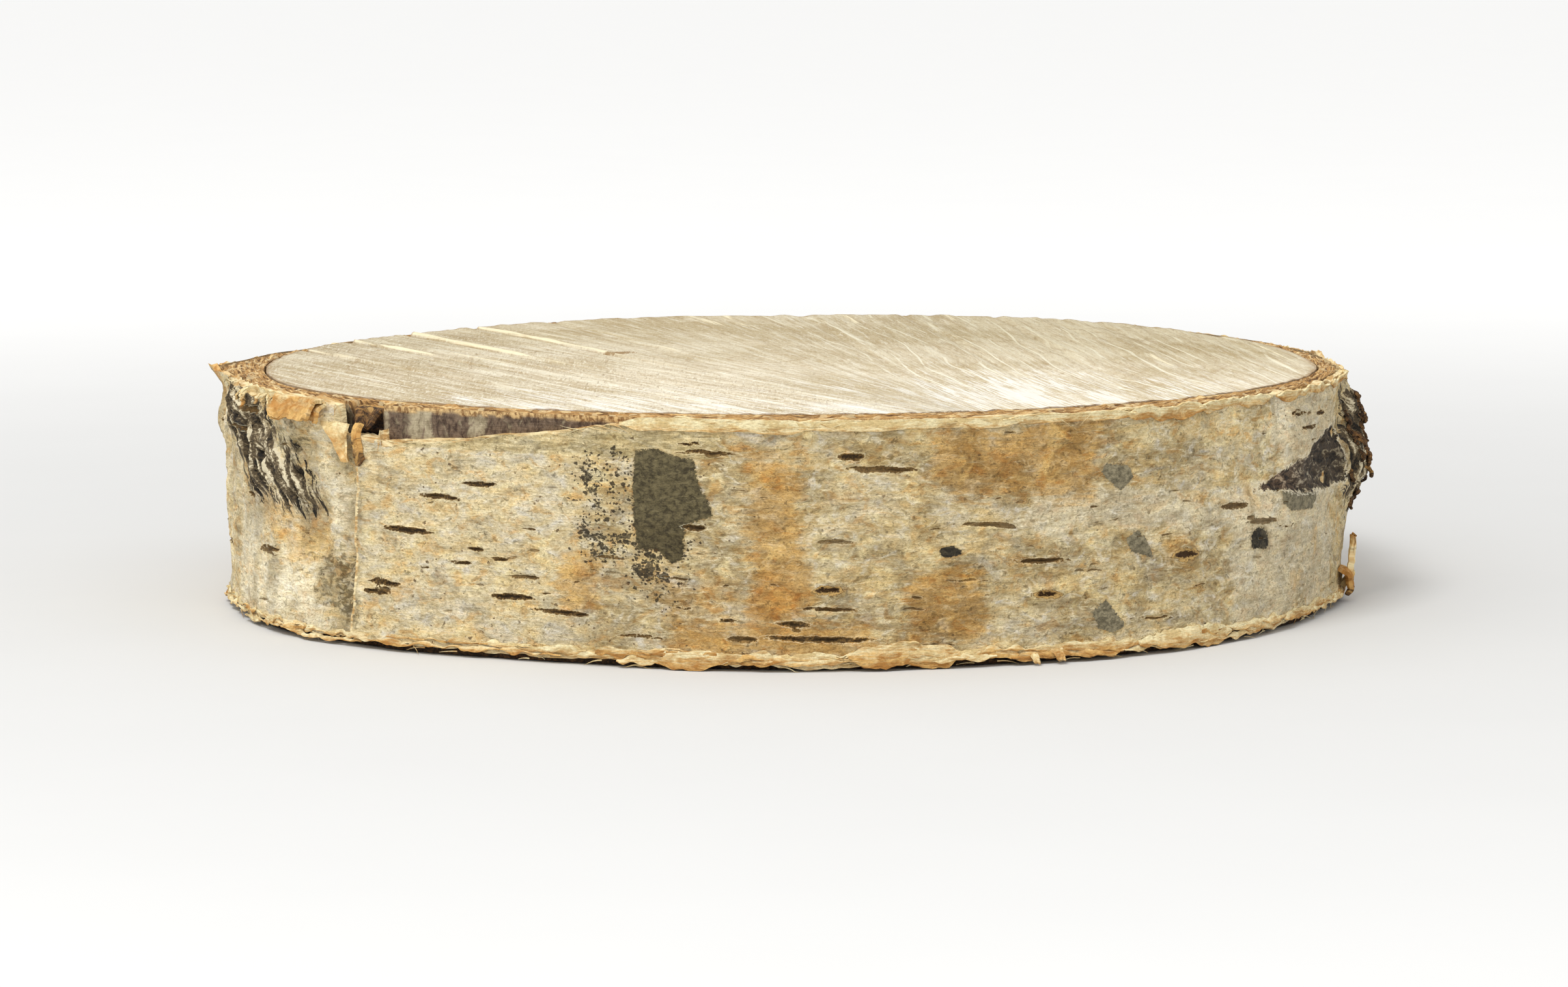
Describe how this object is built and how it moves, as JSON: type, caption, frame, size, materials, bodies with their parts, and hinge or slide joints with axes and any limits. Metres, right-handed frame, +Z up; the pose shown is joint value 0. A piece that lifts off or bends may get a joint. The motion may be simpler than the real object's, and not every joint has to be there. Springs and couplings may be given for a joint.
{
  "type": "birch wood slice",
  "caption": "Round sawn slice of a birch branch with its papery bark on, used as a coaster, stand or base for craft work.",
  "frame": {"origin": "middle of the slice's box at its lower sawn face, which it lies on", "axes": "+Z up out of the upper sawn face, -Y towards the side of the bark with the most marks, +X to the right as seen from there"},
  "size_m": [0.1172, 0.1186, 0.023],
  "materials": {
    "wood": "raw sawn wood, pale beige, matt, with fine pale saw marks and faint growth rings",
    "bark": "birch bark: papery cream white with orange-brown stains, dark lenticels and grey patches, matt to slightly silky"
  },
  "bodies": {
    "root": {"wood": "wood", "bark": "bark"}
  },
  "joints": []
}
